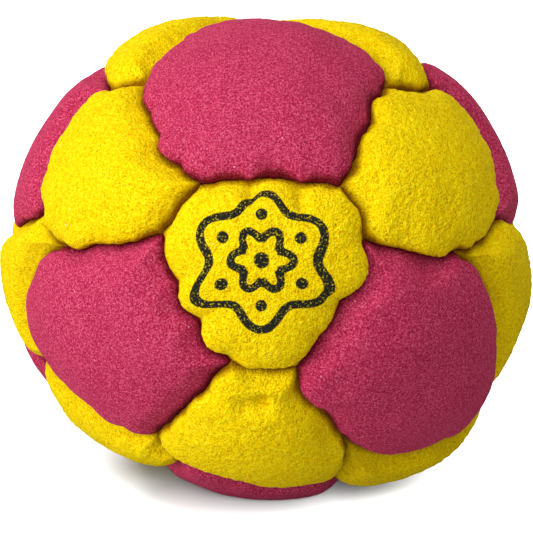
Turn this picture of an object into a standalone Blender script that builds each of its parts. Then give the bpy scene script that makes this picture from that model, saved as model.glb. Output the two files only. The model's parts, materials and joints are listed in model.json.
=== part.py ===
"""Footbag: thirty-two panels of synthetic suede sewn edge to edge into a ball round loose sand.

Twelve pink pentagons and twenty yellow hexagons meet at sixty seam corners. Each panel is one piece
of cloth: a puffed face, an edge that rolls over into the seam, and a seam allowance that is turned
in. The thread runs along the turned-in edges, and the sand fills what is left.

Metres, +Z up, the bag's front towards -Y. The origin is on the floor, under the bag's middle.
"""
import itertools
import math

import bmesh
import bpy
import numpy as np

MM = 0.001

# The round form that the fullest panels reach, before the floor flattens it
BAG_WIDTH = 54.0 * MM
BAG_DEPTH = 53.0 * MM
HEIGHT_ABOVE_BELLY = 25.2 * MM
HEIGHT_BELOW_BELLY = 25.8 * MM
BELLY_HEIGHT = 24.0 * MM

# Where the sand swells the outline or leaves it slack: degrees round from the viewer's right, and the
# rise as a share of the bag's radius
SWELL_SHARES = (
    (44.0, 0.018),
    (90.0, -0.050),
    (103.0, 0.024),
    (155.0, -0.018),
    (190.0, 0.008),
    (228.0, -0.015),
    (250.0, -0.034),
    (284.0, -0.008),
    (313.0, 0.066),
    (341.0, 0.022),
)
SWELL_SPREAD = math.radians(17.0)
SWELL_LEAN_SHARE = 0.12

# How the bag sits: the cloth bends to the floor within this height, and is pressed flat this deep
FLOOR_BEND = 0.9 * MM
FLOOR_PRESS = 0.5 * MM

# The panels
SKIN_THICKNESS = 0.8 * MM
SEAM_ALLOWANCE = 2.0 * MM
ROLL_WIDTH = 2.2 * MM
ROLL_DEPTH = 1.0 * MM
CROWN_DEPTH = 0.7 * MM
SEAM_GAP = 0.3 * MM
SEAM_DEPTH = ROLL_DEPTH + CROWN_DEPTH

# The thread and the sand
THREAD_DIAMETER = 0.5 * MM
THREAD_CLEARANCE = 0.3 * MM
SAND_CLEARANCE = 0.35 * MM
CLOSING_THREAD_DIAMETER = 0.4 * MM
CLOSING_THREAD_HEIGHT = 0.85 * MM

# How the panels lie: the front hexagon faces the viewer, tipped up a little
FRONT_LIFT = math.radians(8.0)
FRONT_ROLL = math.radians(-1.5)
PENTAGON_SHARE = 0.42
HIDDEN_CORNER_SHARES = {("top", "crown"): 0.49, ("crown", "top"): 0.36}
SHIFT_SPREAD = math.radians(25.0)
SHIFT_FADE_SHARE = 0.15

# Twelve pentagons in four rings of three round the front hexagon: tilt from its normal, first turn in
# degrees, and names
NEAR_TILT = math.acos(math.sqrt((5 + 2 * math.sqrt(5)) / 15))
FAR_TILT = math.acos(math.sqrt((5 - 2 * math.sqrt(5)) / 15))
PENTAGON_RINGS = (
    (NEAR_TILT, 90.0, ("top", "left", "right")),
    (FAR_TILT, 30.0, ("far_right", "far_left", "bottom")),
    (math.pi - FAR_TILT, 90.0, ("crown", "low_left", "low_right")),
    (math.pi - NEAR_TILT, 30.0, ("back_right", "back_left", "back_bottom")),
)
NEIGHBOUR_COSINE = 1 / math.sqrt(5)

# Where the photograph shows each seam corner: beside the first pentagon, on the way to the second
SEAM_CORNER_PIXELS = {
    ("top", "left"): (199, 182), ("top", "right"): (342, 185),
    ("right", "top"): (366, 237), ("left", "top"): (160, 233),
    ("left", "right"): (231, 364), ("right", "left"): (297, 369),
    ("top", "far_left"): (144, 80), ("far_left", "top"): (109, 88),
    ("top", "far_right"): (386, 85), ("far_right", "top"): (430, 87),
    ("left", "far_left"): (62, 246), ("far_left", "left"): (44, 212),
    ("right", "far_right"): (458, 253), ("far_right", "right"): (495, 221),
    ("left", "bottom"): (155, 437), ("bottom", "left"): (181, 457),
    ("right", "bottom"): (345, 440), ("bottom", "right"): (331, 475),
    ("left", "low_left"): (51, 360), ("right", "low_right"): (481, 391),
    ("top", "crown"): (248, 27),
}
# Where it shows the middle of each seam that bends
SEAM_MIDDLE_PIXELS = {
    (("top", "left"), ("top", "far_left")): (160, 133),
    (("top", "left"), ("top", "right")): (270, 176),
    (("top", "right"), ("top", "far_right")): (368, 134),
    (("left", "top"), ("left", "right")): (187, 299),
    (("right", "top"), ("right", "left")): (337, 302),
    (("left", "far_left"), ("left", "low_left")): (32, 299),
    (("left", "low_left"), ("left", "bottom")): (99, 406),
    (("right", "far_right"), ("right", "low_right")): (491, 322),
    (("right", "bottom"), ("right", "low_right")): (417, 444),
    (("far_left", "top"), ("far_left", "left")): (63, 146),
    (("far_right", "top"), ("far_right", "right")): (478, 145),
    (("top", "far_left"), ("top", "crown")): (178, 50),
    (("top", "far_right"), ("top", "crown")): (353, 50),
    (("bottom", "left"), ("bottom", "right")): (262, 479),
}
# The view in the photograph, in its pixels: the round form on which the seams lie (half its width, half
# its depth, its height above and below the belly), the belly's centre, and the camera
SEAM_FORM_PIXELS = (245, 240, 227, 233)
BELLY_CENTRE_PIXELS = (264.7, 252.0)
PHOTO_MIDDLE_PIXELS = (266.5, 266.5)
VIEW_PIXELS = 1670
VIEW_ELEVATION = math.radians(12.0)
SIGHT_HALVINGS = 40

# How finely each seam and panel is divided
LONG_SEAM_STEPS = 3
SHORT_SEAM_STEPS = 2
SKIN_RING_SHARES = (0.93, 0.80, 0.50)
SAND_RING_SHARE = 0.60
CLOSING_STITCHES = 12
CLOSING_SHARES = (0.10, 0.90)
CLOSED_SEAM = (("back_left", "back_right"), ("back_left", "back_bottom"))
CORNER_SOFTNESS = 8
MERGE_DISTANCE = 0.001 * MM

YELLOW_SUEDE = ("yellow_suede", (0.86, 0.62, 0.0), 0.92)
PINK_SUEDE = ("pink_suede", (0.60, 0.07, 0.15), 0.92)
SEWING_THREAD = ("sewing_thread", (0.55, 0.35, 0.03), 0.70)
SAND = ("sand", (0.55, 0.43, 0.28), 1.00)

BELLY_CENTRE = np.array((0.0, 0.0, BELLY_HEIGHT))
BAG_FORM = (BAG_WIDTH / 2, BAG_DEPTH / 2, HEIGHT_ABOVE_BELLY, HEIGHT_BELOW_BELLY)


def unit(vectors):
    """Vectors, each divided by its length."""
    vectors = np.asarray(vectors, dtype=float)
    return vectors / np.linalg.norm(vectors, axis=-1, keepdims=True)


def view_axes():
    """The viewer's right, up and away."""
    sine, cosine = math.sin(VIEW_ELEVATION), math.cos(VIEW_ELEVATION)
    return np.array(((1, 0, 0), (0, sine, cosine), (0, cosine, -sine)))


def half_sizes(directions, form):
    """Half a form's width, depth and height, the height being the part above or below the belly."""
    half_width, half_depth, above, below = form
    sizes = np.empty_like(directions)
    sizes[..., 0] = half_width
    sizes[..., 1] = half_depth
    sizes[..., 2] = np.where(directions[..., 2] > 0, above, below)
    return sizes


def above_floor(heights):
    """Heights bent up from the floor, zero below it and unchanged above, by a parabola. And the slope."""
    bent = np.clip((heights + FLOOR_BEND) / (2 * FLOOR_BEND), 0, 1)
    return np.where(heights > FLOOR_BEND, heights, FLOOR_BEND * bent ** 2), bent


def reach(directions):
    """How far the bag reaches, as a share of an ellipsoid's radius: one, with soft swells."""
    right, up, away = view_axes()
    share = np.ones(directions.shape[:-1] + (1,))
    for turn, rise in SWELL_SHARES:
        across = math.cos(math.radians(turn)) * right + math.sin(math.radians(turn)) * up
        middle = unit(across - SWELL_LEAN_SHARE * away)
        angle = np.arccos(np.clip(directions @ middle, -1, 1))[..., None]
        share = share + rise * np.exp(-(angle / SWELL_SPREAD) ** 2)
    return share


def layer(directions, depth):
    """Points this deep under the bag's round form. A direction is one on a ball, stretched to the form."""
    sizes = half_sizes(directions, BAG_FORM)
    points = BELLY_CENTRE + directions * sizes * reach(directions)
    normals = directions / sizes
    heights, slope = above_floor(points[..., 2] + FLOOR_PRESS)
    points[..., 2] = heights - FLOOR_PRESS
    normals[..., :2] *= slope[..., None]
    normals = unit(normals)
    return points - normals * np.asarray(depth)[..., None], normals


def seen_at(pixel):
    """Direction of the seam that a pixel shows, found by halving along its line of sight, in pixels."""
    right, up, away = view_axes()
    aim_x, aim_y = np.array(PHOTO_MIDDLE_PIXELS) - BELLY_CENTRE_PIXELS
    eye = right * aim_x - up * aim_y - away * VIEW_PIXELS
    across, down = np.array(pixel) - PHOTO_MIDDLE_PIXELS
    sight = unit(right * across - up * down + away * VIEW_PIXELS)
    near, far = 0.0, -eye @ sight
    for _ in range(SIGHT_HALVINGS):
        middle = (near + far) / 2
        found = eye + sight * middle
        found = found / half_sizes(found, SEAM_FORM_PIXELS)
        inside = np.linalg.norm(found) < reach(unit(found))[0]
        near, far = (near, middle) if inside else (middle, far)
    return unit(found)


def pentagon_directions():
    """Each pentagon's name and direction, with the front hexagon facing the viewer."""
    sine, cosine = math.sin(FRONT_LIFT), math.cos(FRONT_LIFT)
    right, up, front = np.array(((1, 0, 0), (0, sine, cosine), (0, -cosine, sine)))
    found = {}
    for tilt, first_turn, names in PENTAGON_RINGS:
        for step, name in enumerate(names):
            turn = math.radians(first_turn + 360 * step / len(names)) + FRONT_ROLL
            across = math.cos(turn) * right + math.sin(turn) * up
            found[name] = math.sin(tilt) * across + math.cos(tilt) * front
    return found


PENTAGONS = pentagon_directions()


def are_neighbours(first, second):
    """True if two pentagons are joined by one short seam."""
    return first != second and PENTAGONS[first] @ PENTAGONS[second] > NEIGHBOUR_COSINE / 2


def corner_directions():
    """Every seam corner's direction: as the photograph shows it, or moved along with those near it."""
    pattern = {}
    for pair in itertools.permutations(PENTAGONS, 2):
        if are_neighbours(*pair):
            start, end = PENTAGONS[pair[0]], PENTAGONS[pair[1]]
            share = HIDDEN_CORNER_SHARES.get(pair, PENTAGON_SHARE)
            pattern[pair] = unit(start + (end - start) * share)
    seen = {corner: seen_at(pixel) for corner, pixel in SEAM_CORNER_PIXELS.items()}
    found = {}
    for corner, direction in pattern.items():
        angles = np.array([math.acos(min(1.0, direction @ pattern[other])) for other in seen])
        weights = np.exp(-(angles / SHIFT_SPREAD) ** 2)
        shifts = np.array([seen[other] - pattern[other] for other in seen])
        shift = weights @ shifts / (weights.sum() + SHIFT_FADE_SHARE)
        found[corner] = seen.get(corner, unit(direction + shift))
    return found


CORNERS = corner_directions()
SEAM_MIDDLES = {frozenset(ends): seen_at(pixel) for ends, pixel in SEAM_MIDDLE_PIXELS.items()}


def in_turn(corners):
    """Corners in order round their middle, anticlockwise as seen from outside."""
    middle = unit(sum(CORNERS[corner] for corner in corners))
    first_axis = unit(np.cross(middle, CORNERS[corners[0]]))
    second_axis = np.cross(middle, first_axis)

    def turn(corner):
        return math.atan2(CORNERS[corner] @ second_axis, CORNERS[corner] @ first_axis)

    return sorted(corners, key=turn)


def pentagon_corners():
    """The corners of each pentagon."""
    return [in_turn([corner for corner in CORNERS if corner[0] == name]) for name in PENTAGONS]


def hexagon_corners():
    """The corners of each hexagon, which lies between three pentagons, from the front to the back."""
    found = []
    for trio in itertools.combinations(PENTAGONS, 3):
        if all(are_neighbours(*pair) for pair in itertools.combinations(trio, 2)):
            found.append(in_turn(list(itertools.permutations(trio, 2))))
    return found


def seam_directions(start, end):
    """Directions along the seam from one corner to the next, without the last. Both panels get the same.

    A seam that the photograph shows bent follows a parabola through its middle.
    """
    steps = LONG_SEAM_STEPS if start[0] == end[0] else SHORT_SEAM_STEPS
    first, last = sorted((start, end))
    shares = np.arange(steps + 1)[:, None] / steps
    along = CORNERS[first] * (1 - shares) + CORNERS[last] * shares
    if frozenset((start, end)) in SEAM_MIDDLES:
        bow = SEAM_MIDDLES[frozenset((start, end))] - unit(CORNERS[first] + CORNERS[last])
        along = unit(along) + bow * 4 * shares * (1 - shares)
    along = unit(along)
    return along[:-1] if first == start else along[::-1][:-1]


def rim_directions(corners):
    """Directions all round a panel's seam."""
    return np.concatenate([seam_directions(a, b) for a, b in zip(corners, corners[1:] + corners[:1])])


def inward(rim, depth):
    """Mitred inward offsets of length one, at each point of a rim at this depth."""
    points, normals = layer(rim, np.full(len(rim), depth))
    along = unit(np.roll(points, -1, axis=0) - points)
    sides = unit(np.cross(normals + np.roll(normals, -1, axis=0), along))
    before = np.roll(sides, 1, axis=0)
    return (before + sides) / (1 + np.sum(before * sides, axis=1, keepdims=True))


def seam_distance(directions, rim):
    """Distance from each direction's point to the panel's seams, rounded off near the corners."""
    points = layer(directions, np.full(len(directions), SEAM_DEPTH))[0]
    start = layer(rim, np.full(len(rim), SEAM_DEPTH))[0]
    step = np.roll(start, -1, axis=0) - start
    offset = points[:, None] - start
    share = np.clip(np.sum(offset * step, axis=2) / np.sum(step * step, axis=1), 0, 1)
    distance = np.linalg.norm(offset - share[..., None] * step, axis=2)
    return np.sum(distance ** -CORNER_SOFTNESS, axis=1) ** (-1 / CORNER_SOFTNESS)


def skin_depth(distance, half_width):
    """Depth of a panel's face: a quarter-round roll beside the seam, then a shallow crown."""
    roll = np.clip(distance / ROLL_WIDTH, 0, 1)
    crown = np.clip(distance / half_width, 0, 1)
    return ROLL_DEPTH * (1 - np.sqrt(1 - (1 - roll) ** 2)) + CROWN_DEPTH * (1 - crown) ** 2


def face_rings(corners, ring_shares, extra_depth, floor):
    """Rings of points over a panel's face, from the outermost share in, and its middle point."""
    rim = rim_directions(corners)
    middle = unit(rim.sum(axis=0))
    half_width = seam_distance(middle[None], rim)
    rings = []
    for share in (*ring_shares, 0.0):
        directions = unit(middle * (1 - share) + rim * share) if share else middle[None]
        depth = skin_depth(seam_distance(directions, rim), half_width) + extra_depth
        points = layer(directions, depth)[0]
        points[:, 2] = np.maximum(points[:, 2], floor)
        rings.append(points)
    return rings


def seam_ring(corners, depth, inset):
    """A ring of points along a panel's seam, at this depth, set into the panel."""
    rim = rim_directions(corners)
    return layer(rim, np.full(len(rim), depth))[0] + inward(rim, SEAM_DEPTH) * inset


class Surface:
    """Points and faces gathered ring by ring, for one object."""

    def __init__(self):
        self.points = []
        self.faces = []

    def add_ring(self, ring):
        """Store a ring of points and return their numbers."""
        first = sum(len(points) for points in self.points)
        self.points.append(ring)
        return np.arange(first, first + len(ring))

    def band(self, outer, inner):
        """Join two rings by quads that face outwards, or a ring to a single point by triangles."""
        outer_next = np.roll(outer, -1)
        if len(inner) == 1:
            self.faces += [(a, b, inner[0]) for a, b in zip(outer, outer_next)]
        else:
            self.faces += list(zip(outer, outer_next, np.roll(inner, -1), inner))

    def sheet(self, rings):
        """Join rings in order, from the first to the last."""
        numbers = [self.add_ring(ring) for ring in rings]
        for outer, inner in zip(numbers, numbers[1:]):
            self.band(outer, inner)

    def make_object(self, name, material):
        """Turn the gathered surface into a named object. Points that coincide become one."""
        mesh = bpy.data.meshes.new(name)
        mesh.from_pydata(np.concatenate(self.points).tolist(), [], self.faces)
        merged = bmesh.new()
        merged.from_mesh(mesh)
        bmesh.ops.remove_doubles(merged, verts=merged.verts, dist=MERGE_DISTANCE)
        merged.to_mesh(mesh)
        merged.free()
        mesh.shade_smooth()
        mesh.materials.append(material)
        made = bpy.data.objects.new(name, mesh)
        bpy.context.collection.objects.link(made)
        return made


def make_material(description):
    """A plain material with a colour and a roughness."""
    name, colour, roughness = description
    material = bpy.data.materials.new(name)
    material.use_nodes = True
    shader = material.node_tree.nodes["Principled BSDF"]
    shader.inputs["Base Color"].default_value = (*colour, 1.0)
    shader.inputs["Roughness"].default_value = roughness
    material.diffuse_color = (*colour, 1.0)
    return material


def make_panel(name, corners, material):
    """One panel: its face, its rolled edge and its turned-in allowance, given the cloth's thickness."""
    surface = Surface()
    rim_top = seam_ring(corners, SEAM_DEPTH, SEAM_GAP / 2)
    rim_bottom = seam_ring(corners, SEAM_DEPTH + SEAM_ALLOWANCE, SEAM_GAP / 2)
    surface.sheet([rim_bottom, rim_top, *face_rings(corners, SKIN_RING_SHARES, 0.0, 0.0)])
    panel = surface.make_object(name, material)
    wall = panel.modifiers.new("cloth thickness", "SOLIDIFY")
    wall.thickness = SKIN_THICKNESS
    wall.offset = -1
    wall.use_even_offset = True
    return panel


def make_seam_thread(panels, material):
    """The thread: a four-sided strand along every seam, under the turned-in edges."""
    radius = THREAD_DIAMETER / 2
    top = SEAM_DEPTH + SEAM_ALLOWANCE + THREAD_CLEARANCE
    surface = Surface()
    for corners in panels:
        surface.sheet([
            seam_ring(corners, top, 0.0),
            seam_ring(corners, top + radius, radius),
            seam_ring(corners, top + 2 * radius, 0.0),
        ])
    return surface.make_object("seam_thread", material)


def make_sand(panels, material):
    """The sand: one body that follows the inside of every panel, grooved along the seams."""
    groove = SEAM_DEPTH + SEAM_ALLOWANCE + THREAD_CLEARANCE + THREAD_DIAMETER + SAND_CLEARANCE
    shoulder = SEAM_GAP / 2 + SKIN_THICKNESS + SAND_CLEARANCE
    lining = SKIN_THICKNESS + SAND_CLEARANCE
    surface = Surface()
    for corners in panels:
        rings = face_rings(corners, (SAND_RING_SHARE,), lining, lining)
        surface.sheet([
            seam_ring(corners, groove, 0.0),
            seam_ring(corners, groove - THREAD_DIAMETER, shoulder),
            *rings,
        ])
    return surface.make_object("sand_fill", material)


def make_closing_thread(material):
    """The thread of the last seam, sewn by hand from outside once the sand is in."""
    start, end = (CORNERS[corner] for corner in CLOSED_SEAM)
    shares = np.linspace(*CLOSING_SHARES, CLOSING_STITCHES + 1)[:, None]
    directions = unit(start * (1 - shares) + end * shares)
    points = layer(directions, np.full(len(directions), SEAM_DEPTH - CLOSING_THREAD_HEIGHT))[0]
    curve = bpy.data.curves.new("closing_thread", "CURVE")
    curve.dimensions = "3D"
    curve.bevel_depth = CLOSING_THREAD_DIAMETER / 2
    curve.bevel_resolution = 1
    curve.use_fill_caps = True
    spline = curve.splines.new("POLY")
    spline.points.add(len(points) - 1)
    spline.points.foreach_set("co", np.column_stack((points, np.ones(len(points)))).ravel())
    curve.materials.append(material)
    made = bpy.data.objects.new("closing_thread", curve)
    bpy.context.collection.objects.link(made)
    return made


def clear_scene():
    """Start from an empty scene."""
    for thing in list(bpy.data.objects):
        bpy.data.objects.remove(thing)


def build():
    """Make every piece of the footbag."""
    clear_scene()
    yellow = make_material(YELLOW_SUEDE)
    pink = make_material(PINK_SUEDE)
    thread = make_material(SEWING_THREAD)
    pentagons, hexagons = pentagon_corners(), hexagon_corners()
    for number, corners in enumerate(pentagons, 1):
        make_panel(f"pink_pentagon_{number:02d}", corners, pink)
    for number, corners in enumerate(hexagons, 1):
        make_panel(f"yellow_hexagon_{number:02d}", corners, yellow)
    make_seam_thread(pentagons + hexagons, thread)
    make_closing_thread(thread)
    make_sand(pentagons + hexagons, make_material(SAND))


build()
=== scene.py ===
# %% [markdown]
# # A sand-filled footbag
#
# A footbag is a small soft ball that is kept in the air with the feet. This one is sewn from
# thirty-two panels of synthetic suede, twelve pink pentagons and twenty yellow hexagons, and filled
# with loose sand. The CAD model gives each panel's place and size. This script dresses it: it makes
# every panel again as a fine surface, with puffed cloth, puckered seams and napped suede.

# %% Load the frame and keep its size
import itertools
import json
import math
from collections import namedtuple

import bpy
import mathutils
import numpy as np
from mathutils.bvhtree import BVHTree
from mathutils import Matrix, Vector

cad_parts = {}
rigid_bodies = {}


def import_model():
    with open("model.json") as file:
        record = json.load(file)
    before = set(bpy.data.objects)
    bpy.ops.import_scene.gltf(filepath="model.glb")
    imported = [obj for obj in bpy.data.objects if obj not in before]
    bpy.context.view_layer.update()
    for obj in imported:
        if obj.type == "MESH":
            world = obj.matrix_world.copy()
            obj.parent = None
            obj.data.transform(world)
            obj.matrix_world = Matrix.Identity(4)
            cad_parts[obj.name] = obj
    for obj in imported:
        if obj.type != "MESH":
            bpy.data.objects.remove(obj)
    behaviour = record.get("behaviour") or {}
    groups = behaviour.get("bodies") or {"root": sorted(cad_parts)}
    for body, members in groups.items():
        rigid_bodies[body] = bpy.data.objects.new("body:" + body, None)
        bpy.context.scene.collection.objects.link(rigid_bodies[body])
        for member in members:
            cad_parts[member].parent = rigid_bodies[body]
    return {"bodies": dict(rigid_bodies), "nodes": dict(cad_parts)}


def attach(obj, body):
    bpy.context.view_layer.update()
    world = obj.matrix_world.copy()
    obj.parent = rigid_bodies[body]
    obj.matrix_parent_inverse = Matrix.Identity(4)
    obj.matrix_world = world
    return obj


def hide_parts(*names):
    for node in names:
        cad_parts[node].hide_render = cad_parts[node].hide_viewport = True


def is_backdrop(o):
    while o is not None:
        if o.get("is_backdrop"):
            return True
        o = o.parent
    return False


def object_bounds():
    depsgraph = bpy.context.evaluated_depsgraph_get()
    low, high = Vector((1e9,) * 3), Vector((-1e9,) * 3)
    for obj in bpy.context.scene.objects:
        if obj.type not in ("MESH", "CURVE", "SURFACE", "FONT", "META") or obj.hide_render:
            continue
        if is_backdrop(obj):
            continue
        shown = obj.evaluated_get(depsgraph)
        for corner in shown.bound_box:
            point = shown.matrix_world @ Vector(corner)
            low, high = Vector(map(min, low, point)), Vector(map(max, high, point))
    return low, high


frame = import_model()
CAD_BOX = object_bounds()
BODY = next(iter(frame["bodies"]))
MM = 0.001
print("The CAD model has", len(frame["nodes"]), "nodes on the body", BODY)

# %% [markdown]
# ## The camera
#
# The photograph was taken from a little above the bag, quite close, so that it shows some
# perspective. The camera looks at the bag's middle with the same lens: a length of 1670 pixels
# in a frame 533 pixels wide.

# %% Place the camera
PHOTO_WIDTH = 533
PHOTO_MIDDLE_PIXELS = (266.5, 266.5)
BELLY_CENTRE_PIXELS = (264.7, 252.0)
VIEW_PIXELS = 1670
VIEW_ELEVATION = math.radians(12.0)
BAG_WIDTH = 54.0 * MM
# How wide the bag's round form is drawn, which gives the size of one pixel
BAG_WIDTH_PIXELS = 522
BELLY_HEIGHT = 24.0 * MM
PIXEL = BAG_WIDTH / BAG_WIDTH_PIXELS
SENSOR_WIDTH_MM = 36

VIEW_RIGHT = np.array((1.0, 0.0, 0.0))
VIEW_UP = np.array((0.0, math.sin(VIEW_ELEVATION), math.cos(VIEW_ELEVATION)))
VIEW_AWAY = np.array((0.0, math.cos(VIEW_ELEVATION), -math.sin(VIEW_ELEVATION)))
BELLY_CENTRE = np.array((0.0, 0.0, BELLY_HEIGHT))

aim_x, aim_y = np.array(PHOTO_MIDDLE_PIXELS) - BELLY_CENTRE_PIXELS
EYE_OFFSET_PIXELS = VIEW_RIGHT * aim_x - VIEW_UP * aim_y - VIEW_AWAY * VIEW_PIXELS
camera = bpy.data.objects.new("camera", bpy.data.cameras.new("camera"))
camera.data.sensor_width = SENSOR_WIDTH_MM
camera.data.lens = SENSOR_WIDTH_MM * VIEW_PIXELS / PHOTO_WIDTH
camera.location = BELLY_CENTRE + EYE_OFFSET_PIXELS * PIXEL
camera.rotation_euler = (math.pi / 2 - VIEW_ELEVATION, 0, 0)
bpy.context.scene.collection.objects.link(camera)
bpy.context.scene.camera = camera
print("Camera at", np.round(camera.location, 4), "with a lens of", round(camera.data.lens, 1), "mm")

# %% [markdown]
# ## The bag's round form
#
# Loose sand gives the bag its form. It is nearly a ball, a little lower than it is wide, with
# soft swells where the sand pushes out and a flat patch where it rests. Everything below is
# placed by a direction: a point on a ball, which is stretched to the bag's own form.

# %% Stretch a ball to the bag's form
# A form is half its width, half its depth, and its height above and below the belly
BAG_FORM = (BAG_WIDTH / 2, 26.5 * MM, 25.2 * MM, 25.8 * MM)
SEAM_FORM_PIXELS = (245, 240, 227, 233)
# Each swell's turn round the outline in degrees, from the viewer's right, and its rise
SWELL_SHARES = ((44, 0.018), (90, -0.050), (103, 0.024), (155, -0.018), (190, 0.008),
                (228, -0.015), (250, -0.034), (284, -0.008), (313, 0.066), (341, 0.022))
SWELL_SPREAD = math.radians(17.0)
SWELL_LEAN_SHARE = 0.12
FLOOR_BEND = 0.9 * MM
FLOOR_PRESS = 0.5 * MM


def unit(vectors):
    """Vectors, each divided by its length."""
    vectors = np.asarray(vectors, dtype=float)
    return vectors / np.linalg.norm(vectors, axis=-1, keepdims=True)


def half_sizes(directions, form):
    """Half a form's width, depth and height, the height being the part above or below the belly."""
    half_width, half_depth, above, below = form
    height = np.where(directions[..., 2] > 0, above, below)
    return np.stack((np.full_like(height, half_width, dtype=float),
                     np.full_like(height, half_depth, dtype=float), height.astype(float)), axis=-1)


def reach(directions):
    """How far the bag reaches: one, plus a bell curve of the angle from the middle of each swell."""
    share = np.ones(directions.shape[:-1] + (1,))
    for turn, rise in SWELL_SHARES:
        across = math.cos(math.radians(turn)) * VIEW_RIGHT + math.sin(math.radians(turn)) * VIEW_UP
        middle = unit(across - SWELL_LEAN_SHARE * VIEW_AWAY)
        angle = np.arccos(np.clip(directions @ middle, -1, 1))[..., None]
        share = share + rise * np.exp(-(angle / SWELL_SPREAD) ** 2)
    return share


def layer(directions, depth):
    """Points this deep under the form, and the form's normals.

    A point is the belly's centre plus the direction times the half sizes, less the depth along the
    normal. Near the floor its height is bent by a parabola, so the cloth lies down on the floor.
    """
    sizes = half_sizes(directions, BAG_FORM)
    points = BELLY_CENTRE + directions * sizes * reach(directions)
    bent = np.clip((points[..., 2] + FLOOR_PRESS + FLOOR_BEND) / (2 * FLOOR_BEND), 0, 1)
    high = points[..., 2] + FLOOR_PRESS > FLOOR_BEND
    points[..., 2] = np.where(high, points[..., 2], FLOOR_BEND * bent ** 2 - FLOOR_PRESS)
    normals = directions / sizes
    normals[..., :2] *= bent[..., None]
    normals = unit(normals)
    return points - normals * np.asarray(depth)[..., None], normals


# %% [markdown]
# ## Where the seams run
#
# The panels make the pattern of a classic football. Sixty seam corners lie two by two between
# neighbouring pentagons. The corners that the photograph shows are placed by their pixels: a
# line of sight through the pixel is followed until it meets the form on which the seams lie.
# The hidden corners take the regular pattern, moved along with the visible ones near them.

# %% Follow a line of sight to the seams
SIGHT_HALVINGS = 40


def seen_at(pixel, form=SEAM_FORM_PIXELS):
    """Direction of the place that a pixel shows, found by halving along its line of sight."""
    across, down = np.array(pixel) - PHOTO_MIDDLE_PIXELS
    sight = unit(VIEW_RIGHT * across - VIEW_UP * down + VIEW_AWAY * VIEW_PIXELS)
    near, far = 0.0, -EYE_OFFSET_PIXELS @ sight
    for _ in range(SIGHT_HALVINGS):
        middle = (near + far) / 2
        place = EYE_OFFSET_PIXELS + sight * middle
        place = place / half_sizes(place, form)
        inside = np.linalg.norm(place) < reach(unit(place))[0]
        near, far = (near, middle) if inside else (middle, far)
    return unit(place)


# %% Name the twelve pentagons and their directions
FRONT_LIFT = math.radians(8.0)
FRONT_ROLL = math.radians(-1.5)
NEAR_TILT = math.acos(math.sqrt((5 + 2 * math.sqrt(5)) / 15))
FAR_TILT = math.acos(math.sqrt((5 - 2 * math.sqrt(5)) / 15))
# Each ring's tilt from the front, its first turn in degrees, and its pentagons
PENTAGON_RINGS = (
    (NEAR_TILT, 90.0, ("top", "left", "right")),
    (FAR_TILT, 30.0, ("far_right", "far_left", "bottom")),
    (math.pi - FAR_TILT, 90.0, ("crown", "low_left", "low_right")),
    (math.pi - NEAR_TILT, 30.0, ("back_right", "back_left", "back_bottom")),
)
NEIGHBOUR_COSINE = 1 / math.sqrt(5)


def pentagon_directions():
    """Four rings of three pentagons round the front hexagon, each ring at its tilt from the front."""
    sine, cosine = math.sin(FRONT_LIFT), math.cos(FRONT_LIFT)
    right, up, front = np.array(((1, 0, 0), (0, sine, cosine), (0, -cosine, sine)))
    found = {}
    for tilt, first_turn, names in PENTAGON_RINGS:
        for step, name in enumerate(names):
            turn = math.radians(first_turn + 360 * step / len(names)) + FRONT_ROLL
            across = math.cos(turn) * right + math.sin(turn) * up
            found[name] = math.sin(tilt) * across + math.cos(tilt) * front
    return found


def are_neighbours(first, second):
    """True if two pentagons are joined by one short seam."""
    return first != second and PENTAGONS[first] @ PENTAGONS[second] > NEIGHBOUR_COSINE / 2


PENTAGONS = pentagon_directions()
print("Pentagons:", ", ".join(PENTAGONS))

# %% Read the seam corners from the photograph
PENTAGON_SHARE = 0.42
HIDDEN_CORNER_SHARES = {("top", "crown"): 0.49, ("crown", "top"): 0.36}
SHIFT_SPREAD = math.radians(25.0)
SHIFT_FADE_SHARE = 0.15
# Where each corner is seen: beside the first pentagon, on the way to the second
SEAM_CORNER_PIXELS = {
    ("top", "left"): (199, 182), ("top", "right"): (342, 185),
    ("right", "top"): (366, 237), ("left", "top"): (160, 233),
    ("left", "right"): (231, 364), ("right", "left"): (297, 369),
    ("top", "far_left"): (144, 80), ("far_left", "top"): (109, 88),
    ("top", "far_right"): (386, 85), ("far_right", "top"): (430, 87),
    ("left", "far_left"): (62, 246), ("far_left", "left"): (44, 212),
    ("right", "far_right"): (458, 253), ("far_right", "right"): (495, 221),
    ("left", "bottom"): (155, 437), ("bottom", "left"): (181, 457),
    ("right", "bottom"): (345, 440), ("bottom", "right"): (331, 475),
    ("left", "low_left"): (51, 360), ("right", "low_right"): (481, 391),
    ("top", "crown"): (248, 27),
}


def corner_directions():
    """Every seam corner's direction: as the photograph shows it, or moved along with those near it."""
    pattern = {}
    for pair in itertools.permutations(PENTAGONS, 2):
        if are_neighbours(*pair):
            start, end = PENTAGONS[pair[0]], PENTAGONS[pair[1]]
            share = HIDDEN_CORNER_SHARES.get(pair, PENTAGON_SHARE)
            pattern[pair] = unit(start + (end - start) * share)
    seen = {corner: seen_at(pixel) for corner, pixel in SEAM_CORNER_PIXELS.items()}
    found = {}
    for corner, direction in pattern.items():
        angles = np.array([math.acos(min(1.0, direction @ pattern[other])) for other in seen])
        weights = np.exp(-(angles / SHIFT_SPREAD) ** 2)
        shifts = np.array([seen[other] - pattern[other] for other in seen])
        shift = weights @ shifts / (weights.sum() + SHIFT_FADE_SHARE)
        found[corner] = seen.get(corner, unit(direction + shift))
    return found


CORNERS = corner_directions()
print(len(CORNERS), "seam corners,", len(SEAM_CORNER_PIXELS), "of them read from the photograph")

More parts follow.
